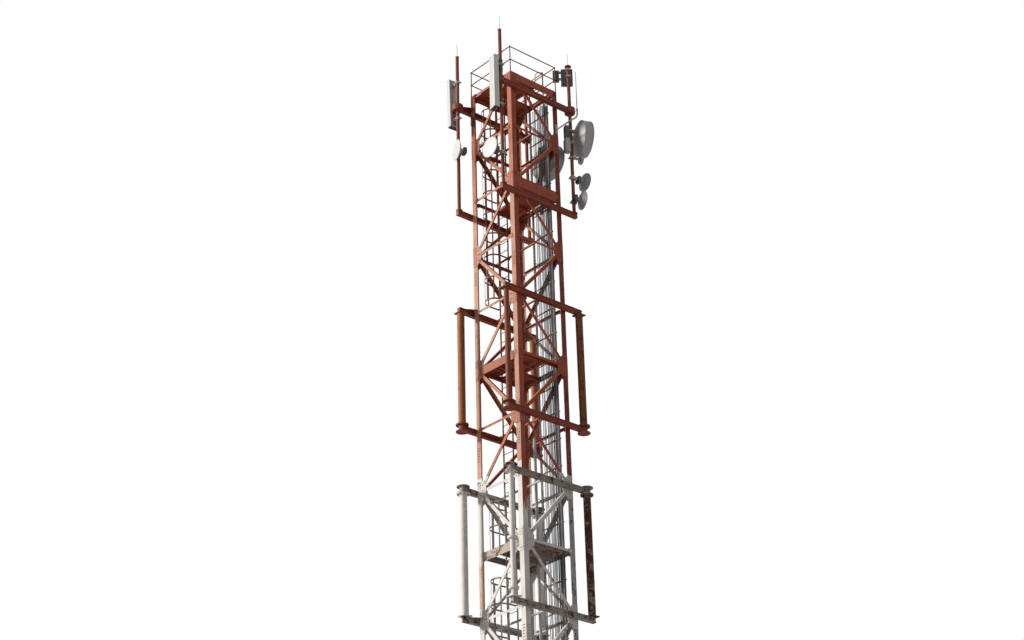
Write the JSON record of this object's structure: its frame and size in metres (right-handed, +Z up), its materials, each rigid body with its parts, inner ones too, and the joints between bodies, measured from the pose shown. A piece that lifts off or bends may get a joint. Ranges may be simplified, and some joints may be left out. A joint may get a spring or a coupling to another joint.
{
  "type": "cell tower",
  "caption": "Square lattice tower of angle steel on a spread base, with work decks, a caged ladder, antenna arms and pipes, panel antennas and dishes.",
  "frame": {"origin": "centre of the near leg's foot plate, on its underside, between its four anchor bolts", "axes": "+X from the near leg towards the right leg, +Y from the near leg towards the left leg, +Z up"},
  "size_m": [4.65, 4.65, 37.91],
  "materials": {
    "steel_red": "faded satin with rust",
    "steel_white": "faded satin with rust",
    "steel_base": "faded satin with rust",
    "steel_brown": "worn, rusty",
    "cable": "matte",
    "radio_grey": "matte",
    "panel_white": "weathered",
    "dish_white": "weathered"
  },
  "bodies": {
    "root": {"leg_near": "steel_red", "leg_left": "steel_red", "leg_right": "steel_red", "leg_back": "steel_red", "base_leg_near": "steel_base", "base_leg_left": "steel_base", "base_leg_right": "steel_base", "base_leg_back": "steel_base", "upper_bracing_right_front": "steel_red", "upper_bracing_left_front": "steel_red", "upper_bracing_left_rear": "steel_red", "upper_bracing_right_rear": "steel_red", "lower_bracing_right_front": "steel_white", "lower_bracing_left_front": "steel_white", "lower_bracing_left_rear": "steel_white", "lower_bracing_right_rear": "steel_white", "base_bracing_right_front": "steel_base", "base_bracing_left_front": "steel_base", "base_bracing_left_rear": "steel_base", "base_bracing_right_rear": "steel_base", "top_deck": "steel_red", "upper_deck": "steel_red", "middle_deck": "steel_red", "lower_deck": "steel_brown", "top_railing": "steel_red", "ladder": "steel_red", "ladder_cage": "steel_red", "cable_ladder": "steel_brown", "feeder_cables": "cable", "top_arms": "steel_red", "middle_arms": "steel_red", "lower_arms": "steel_white", "top_pipes": "steel_red", "middle_pipes": "steel_brown", "lower_pipes": "steel_white", "left_panel_antenna": "panel_white", "near_panel_antenna": "panel_white", "left_dish": "dish_white", "near_dish": "dish_white", "large_right_dish": "dish_white", "upper_right_dish": "dish_white", "lower_right_dish": "dish_white", "large_back_dish": "dish_white", "right_radio_units": "radio_grey", "whip_antenna": "steel_red"}
  },
  "joints": []
}
